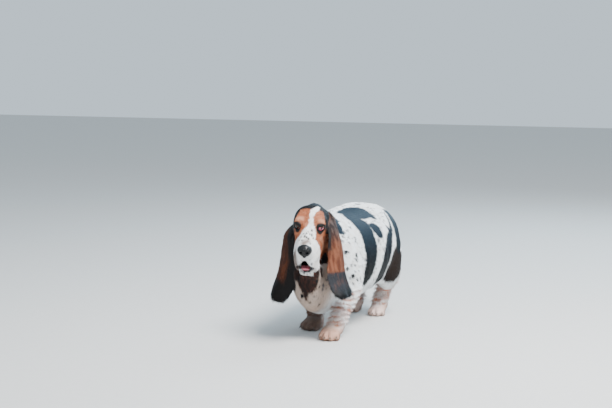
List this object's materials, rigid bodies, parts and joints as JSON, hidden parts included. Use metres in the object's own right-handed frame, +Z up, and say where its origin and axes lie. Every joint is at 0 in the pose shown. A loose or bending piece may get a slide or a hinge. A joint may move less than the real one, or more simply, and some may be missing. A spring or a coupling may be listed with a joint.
{
  "type": "basset hound",
  "caption": "Life-size basset hound in mid stride, long back, short wrinkled legs, hanging ears, head turned a little to its left.",
  "frame": {"origin": "on the floor, under the middle of the bounding box", "axes": "+Z up, the dog faces -Y, its own left is +X; the head is turned about 15 degrees towards its left"},
  "size_m": [0.2598, 0.8297, 0.4204],
  "materials": {
    "pale_coat": "short smooth coat, white with grey ticking and black patches",
    "face_coat": "short smooth coat, tan with a black cap and a white blaze and muzzle",
    "ear_coat": "fine short coat, red brown, darker at the root and tip",
    "paw_coat": "short coat, cream with a pink flush",
    "nose": "moist black nose leather",
    "eye": "wet, dark brown",
    "tongue": "moist pink"
  },
  "bodies": {
    "root": {"head": "face_coat", "lower_jaw": "pale_coat", "tongue": "tongue", "nose": "nose", "eye_left": "eye", "eye_right": "eye", "ear_left": "ear_coat", "ear_right": "ear_coat", "neck": "pale_coat", "torso": "pale_coat", "tail": "pale_coat", "front_left_leg": "pale_coat", "front_right_leg": "pale_coat", "hind_left_leg": "pale_coat", "hind_right_leg": "pale_coat", "paw_front_left": "paw_coat", "paw_front_right": "paw_coat", "paw_hind_left": "paw_coat", "paw_hind_right": "paw_coat"}
  },
  "joints": []
}
